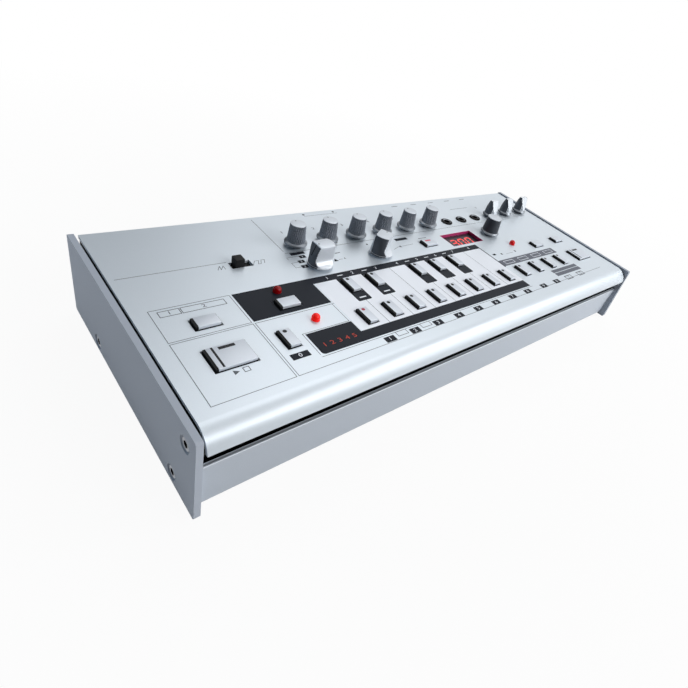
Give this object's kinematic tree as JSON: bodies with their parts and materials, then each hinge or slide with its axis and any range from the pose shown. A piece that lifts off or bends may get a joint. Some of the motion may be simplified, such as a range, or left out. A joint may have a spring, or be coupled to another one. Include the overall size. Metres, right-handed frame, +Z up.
{
  "type": "bass synthesizer",
  "caption": "Tabletop bass synthesizer module with press keys, turned knobs and a recessed display, held in a metal dock in which it tilts on a folding prop leg.",
  "frame": {"origin": "on the table, in the middle of the dock's footprint", "axes": "+X to the right along the panel, +Y from the rolled front edge to the rear sockets, +Z up"},
  "size_m": [0.308, 0.128, 0.0537],
  "materials": {
    "silver_panel": "satin metallic silver",
    "dock_metal": "satin, silvery grey",
    "black_metal": "matte black",
    "black_plastic": "fine matte",
    "cap_plastic": "silvery grey, satin",
    "dark_knob": "satin dark grey",
    "silver_knob": "silvery, satin",
    "screw_steel": "bright",
    "black_screw": "black",
    "foot_rubber": "matte",
    "green_board": "lacquered board",
    "dark_window": "clear, dark",
    "red_lamp": "clear red"
  },
  "bodies": {
    "dock": {"dock_tray": "dock_metal", "left_end_plate": "dock_metal", "right_end_plate": "dock_metal", "plate_screws": "screw_steel", "rubber_feet": "foot_rubber"},
    "module": {"top_panel": "silver_panel", "lower_case": "black_plastic", "cradle": "black_metal", "battery_cover": "black_plastic", "case_screws": "black_screw", "panel_board": "green_board", "main_board": "green_board", "switch_bodies": "black_plastic", "pot_bodies": "screw_steel", "display_window": "dark_window", "display_module": "black_plastic", "indicator_lights": "red_lamp", "top_jacks": "black_plastic", "rear_sockets": "black_plastic"},
    "leg": {"prop_leg": "dock_metal"},
    "white_key_1": {"white_key_1": "cap_plastic"},
    "white_key_2": {"white_key_2": "cap_plastic"},
    "white_key_3": {"white_key_3": "cap_plastic"},
    "white_key_4": {"white_key_4": "cap_plastic"},
    "white_key_5": {"white_key_5": "cap_plastic"},
    "white_key_6": {"white_key_6": "cap_plastic"},
    "white_key_7": {"white_key_7": "cap_plastic"},
    "white_key_8": {"white_key_8": "cap_plastic"},
    "sharp_key_1": {"sharp_key_1": "cap_plastic"},
    "sharp_key_2": {"sharp_key_2": "cap_plastic"},
    "sharp_key_3": {"sharp_key_3": "cap_plastic"},
    "sharp_key_4": {"sharp_key_4": "cap_plastic"},
    "sharp_key_5": {"sharp_key_5": "cap_plastic"},
    "side_key_1": {"side_key_1": "cap_plastic"},
    "side_key_2": {"side_key_2": "cap_plastic"},
    "side_key_3": {"side_key_3": "cap_plastic"},
    "side_key_4": {"side_key_4": "cap_plastic"},
    "left_small_key": {"left_small_key": "cap_plastic"},
    "left_upper_button": {"left_upper_button": "cap_plastic"},
    "left_inner_button": {"left_inner_button": "cap_plastic"},
    "centre_button": {"centre_button": "cap_plastic"},
    "right_upper_button_1": {"right_upper_button_1": "cap_plastic"},
    "right_upper_button_2": {"right_upper_button_2": "cap_plastic"},
    "left_large_button": {"left_large_button": "cap_plastic"},
    "right_large_button": {"right_large_button": "cap_plastic"},
    "dial_1": {"dial_1": "silver_knob"},
    "dial_2": {"dial_2": "silver_knob"},
    "dial_3": {"dial_3": "silver_knob"},
    "dial_4": {"dial_4": "silver_knob"},
    "dial_5": {"dial_5": "silver_knob"},
    "dial_6": {"dial_6": "silver_knob"},
    "effect_knob_1": {"effect_knob_1": "silver_knob"},
    "effect_knob_2": {"effect_knob_2": "silver_knob"},
    "effect_knob_3": {"effect_knob_3": "silver_knob"},
    "left_selector": {"left_selector": "silver_knob"},
    "right_selector": {"right_selector": "silver_knob"},
    "value_knob": {"value_knob": "silver_knob"},
    "mode_slider": {"mode_slider": "dark_knob"},
    "volume_knob": {"volume_knob": "dark_knob"},
    "power_switch": {"power_switch": "dark_knob"}
  },
  "joints": [
    {"name": "module_tilt", "type": "hinge", "parent": "dock", "child": "module", "pos_m": [0, -0.0559, 0.033], "axis": [1, 0, 0], "range_deg": [0, 25]},
    {"name": "leg_hinge", "type": "hinge", "parent": "dock", "child": "leg", "pos_m": [0, 0.008, 0.0066], "axis": [1, 0, 0], "range_deg": [0, 87.5]},
    {"name": "white_key_1_press", "type": "slide", "parent": "module", "child": "white_key_1", "axis": [0, 0, -1], "range_m": [0, 0.0006], "stiffness_N_per_m": 800, "springref_m": -0.0005},
    {"name": "white_key_2_press", "type": "slide", "parent": "module", "child": "white_key_2", "axis": [0, 0, -1], "range_m": [0, 0.0006], "stiffness_N_per_m": 800, "springref_m": -0.0005},
    {"name": "white_key_3_press", "type": "slide", "parent": "module", "child": "white_key_3", "axis": [0, 0, -1], "range_m": [0, 0.0006], "stiffness_N_per_m": 800, "springref_m": -0.0005},
    {"name": "white_key_4_press", "type": "slide", "parent": "module", "child": "white_key_4", "axis": [0, 0, -1], "range_m": [0, 0.0006], "stiffness_N_per_m": 800, "springref_m": -0.0005},
    {"name": "white_key_5_press", "type": "slide", "parent": "module", "child": "white_key_5", "axis": [0, 0, -1], "range_m": [0, 0.0006], "stiffness_N_per_m": 800, "springref_m": -0.0005},
    {"name": "white_key_6_press", "type": "slide", "parent": "module", "child": "white_key_6", "axis": [0, 0, -1], "range_m": [0, 0.0006], "stiffness_N_per_m": 800, "springref_m": -0.0005},
    {"name": "white_key_7_press", "type": "slide", "parent": "module", "child": "white_key_7", "axis": [0, 0, -1], "range_m": [0, 0.0006], "stiffness_N_per_m": 800, "springref_m": -0.0005},
    {"name": "white_key_8_press", "type": "slide", "parent": "module", "child": "white_key_8", "axis": [0, 0, -1], "range_m": [0, 0.0006], "stiffness_N_per_m": 800, "springref_m": -0.0005},
    {"name": "sharp_key_1_press", "type": "slide", "parent": "module", "child": "sharp_key_1", "axis": [0, 0, -1], "range_m": [0, 0.0006], "stiffness_N_per_m": 800, "springref_m": -0.0005},
    {"name": "sharp_key_2_press", "type": "slide", "parent": "module", "child": "sharp_key_2", "axis": [0, 0, -1], "range_m": [0, 0.0006], "stiffness_N_per_m": 800, "springref_m": -0.0005},
    {"name": "sharp_key_3_press", "type": "slide", "parent": "module", "child": "sharp_key_3", "axis": [0, 0, -1], "range_m": [0, 0.0006], "stiffness_N_per_m": 800, "springref_m": -0.0005},
    {"name": "sharp_key_4_press", "type": "slide", "parent": "module", "child": "sharp_key_4", "axis": [0, 0, -1], "range_m": [0, 0.0006], "stiffness_N_per_m": 800, "springref_m": -0.0005},
    {"name": "sharp_key_5_press", "type": "slide", "parent": "module", "child": "sharp_key_5", "axis": [0, 0, -1], "range_m": [0, 0.0006], "stiffness_N_per_m": 800, "springref_m": -0.0005},
    {"name": "side_key_1_press", "type": "slide", "parent": "module", "child": "side_key_1", "axis": [0, 0, -1], "range_m": [0, 0.0006], "stiffness_N_per_m": 800, "springref_m": -0.0005},
    {"name": "side_key_2_press", "type": "slide", "parent": "module", "child": "side_key_2", "axis": [0, 0, -1], "range_m": [0, 0.0006], "stiffness_N_per_m": 800, "springref_m": -0.0005},
    {"name": "side_key_3_press", "type": "slide", "parent": "module", "child": "side_key_3", "axis": [0, 0, -1], "range_m": [0, 0.0006], "stiffness_N_per_m": 800, "springref_m": -0.0005},
    {"name": "side_key_4_press", "type": "slide", "parent": "module", "child": "side_key_4", "axis": [0, 0, -1], "range_m": [0, 0.0006], "stiffness_N_per_m": 800, "springref_m": -0.0005},
    {"name": "left_small_key_press", "type": "slide", "parent": "module", "child": "left_small_key", "axis": [0, 0, -1], "range_m": [0, 0.0006], "stiffness_N_per_m": 800, "springref_m": -0.0005},
    {"name": "left_upper_button_press", "type": "slide", "parent": "module", "child": "left_upper_button", "axis": [0, 0, -1], "range_m": [0, 0.0006], "stiffness_N_per_m": 800, "springref_m": -0.0005},
    {"name": "left_inner_button_press", "type": "slide", "parent": "module", "child": "left_inner_button", "axis": [0, 0, -1], "range_m": [0, 0.0006], "stiffness_N_per_m": 800, "springref_m": -0.0005},
    {"name": "centre_button_press", "type": "slide", "parent": "module", "child": "centre_button", "axis": [0, 0, -1], "range_m": [0, 0.0006], "stiffness_N_per_m": 800, "springref_m": -0.0005},
    {"name": "right_upper_button_1_press", "type": "slide", "parent": "module", "child": "right_upper_button_1", "axis": [0, 0, -1], "range_m": [0, 0.0006], "stiffness_N_per_m": 800, "springref_m": -0.0005},
    {"name": "right_upper_button_2_press", "type": "slide", "parent": "module", "child": "right_upper_button_2", "axis": [0, 0, -1], "range_m": [0, 0.0006], "stiffness_N_per_m": 800, "springref_m": -0.0005},
    {"name": "left_large_button_press", "type": "slide", "parent": "module", "child": "left_large_button", "axis": [0, 0, -1], "range_m": [0, 0.0006], "stiffness_N_per_m": 800, "springref_m": -0.0005},
    {"name": "right_large_button_press", "type": "slide", "parent": "module", "child": "right_large_button", "axis": [0, 0, -1], "range_m": [0, 0.0006], "stiffness_N_per_m": 800, "springref_m": -0.0005},
    {"name": "dial_1_turn", "type": "hinge", "parent": "module", "child": "dial_1", "pos_m": [-0.063, 0.0313, 0.0409], "axis": [0, 0, 1], "range_deg": [-150, 150]},
    {"name": "dial_2_turn", "type": "hinge", "parent": "module", "child": "dial_2", "pos_m": [-0.04342, 0.0313, 0.0409], "axis": [0, 0, 1], "range_deg": [-150, 150]},
    {"name": "dial_3_turn", "type": "hinge", "parent": "module", "child": "dial_3", "pos_m": [-0.02384, 0.0313, 0.0409], "axis": [0, 0, 1], "range_deg": [-150, 150]},
    {"name": "dial_4_turn", "type": "hinge", "parent": "module", "child": "dial_4", "pos_m": [-0.00426, 0.0313, 0.0409], "axis": [0, 0, 1], "range_deg": [-150, 150]},
    {"name": "dial_5_turn", "type": "hinge", "parent": "module", "child": "dial_5", "pos_m": [0.01532, 0.0313, 0.0409], "axis": [0, 0, 1], "range_deg": [-150, 150]},
    {"name": "dial_6_turn", "type": "hinge", "parent": "module", "child": "dial_6", "pos_m": [0.0349, 0.0313, 0.0409], "axis": [0, 0, 1], "range_deg": [-150, 150]},
    {"name": "effect_knob_1_turn", "type": "hinge", "parent": "module", "child": "effect_knob_1", "pos_m": [0.1005, 0.0313, 0.0409], "axis": [0, 0, 1], "range_deg": [-150, 150]},
    {"name": "effect_knob_2_turn", "type": "hinge", "parent": "module", "child": "effect_knob_2", "pos_m": [0.1191, 0.0313, 0.0409], "axis": [0, 0, 1], "range_deg": [-150, 150]},
    {"name": "effect_knob_3_turn", "type": "hinge", "parent": "module", "child": "effect_knob_3", "pos_m": [0.1377, 0.0313, 0.0409], "axis": [0, 0, 1], "range_deg": [-150, 150]},
    {"name": "left_selector_turn", "type": "hinge", "parent": "module", "child": "left_selector", "pos_m": [-0.0613, 0.01095, 0.0409], "axis": [0, 0, 1], "range_deg": [-150, 30]},
    {"name": "right_selector_turn", "type": "hinge", "parent": "module", "child": "right_selector", "pos_m": [-0.0216, 0.01095, 0.0409], "axis": [0, 0, 1], "range_deg": [-2, 178]},
    {"name": "value_knob_turn", "type": "hinge", "parent": "module", "child": "value_knob", "pos_m": [0.076, 0.0107, 0.0409], "axis": [0, 0, 1], "continuous": true},
    {"name": "mode_slide", "type": "slide", "parent": "module", "child": "mode_slider", "axis": [1, 0, 0], "range_m": [0, 0.003]},
    {"name": "volume_turn", "type": "hinge", "parent": "module", "child": "volume_knob", "pos_m": [0.07, 0.062, 0.0218], "axis": [0, 1, 0], "range_deg": [-150, 150]},
    {"name": "power_slide", "type": "slide", "parent": "module", "child": "power_switch", "axis": [1, 0, 0], "range_m": [0, 0.003]}
  ],
  "couplings": [
    {"joint": "leg_hinge", "follows": "module_tilt", "ratio": 3.5}
  ]
}
